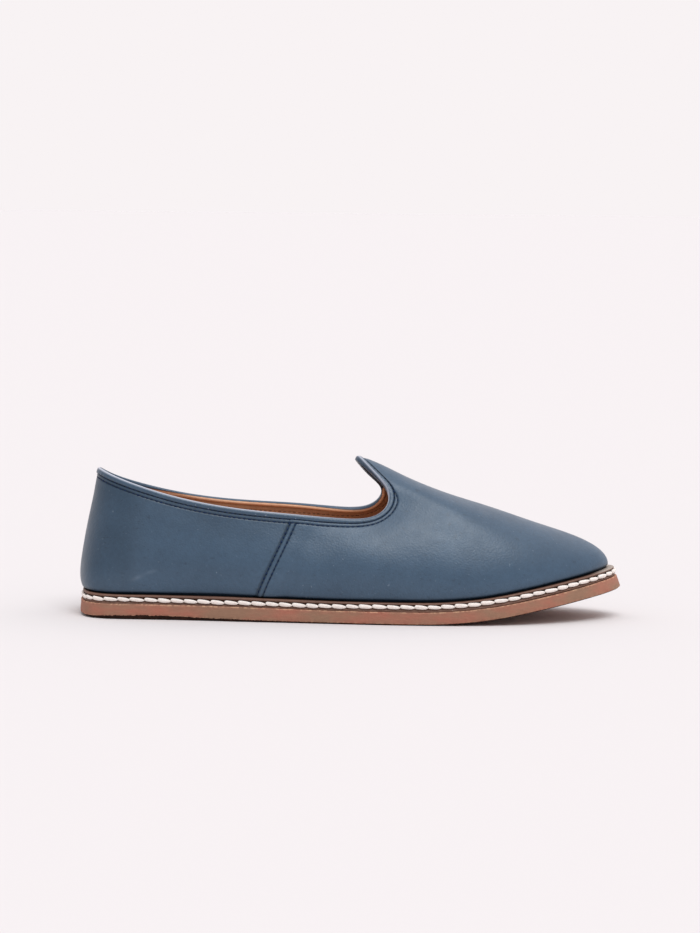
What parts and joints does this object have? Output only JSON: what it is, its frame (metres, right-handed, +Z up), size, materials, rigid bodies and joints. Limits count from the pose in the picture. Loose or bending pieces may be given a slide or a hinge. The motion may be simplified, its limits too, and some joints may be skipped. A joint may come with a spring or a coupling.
{
  "type": "flat shoe",
  "caption": "Leather slip-on flat shoe with a peaked vamp, bound collar, lapped side seams and a thick stitched sole with a sprung toe.",
  "frame": {"origin": "on the floor, under the middle of the shoe's length and width", "axes": "+X from heel to toe, +Y towards the medial (inner) side of a right foot, +Z up from the floor"},
  "size_m": [0.262, 0.0858, 0.0772],
  "materials": {
    "sole_rubber": "matt tan crepe-like rubber with a rough-cut edge",
    "welt_leather": "brown edge-finished leather with pale waxed welt stitches",
    "insole_leather": "natural tan leather, matt",
    "blue_leather": "slate-blue full-grain leather, soft satin with faint scuffs; tan lining inside",
    "binding_leather": "slate-blue folded leather strip, satin"
  },
  "bodies": {
    "root": {"outsole": "sole_rubber", "midsole": "welt_leather", "insole": "insole_leather", "upper": "blue_leather", "collar_binding": "binding_leather"}
  },
  "joints": []
}
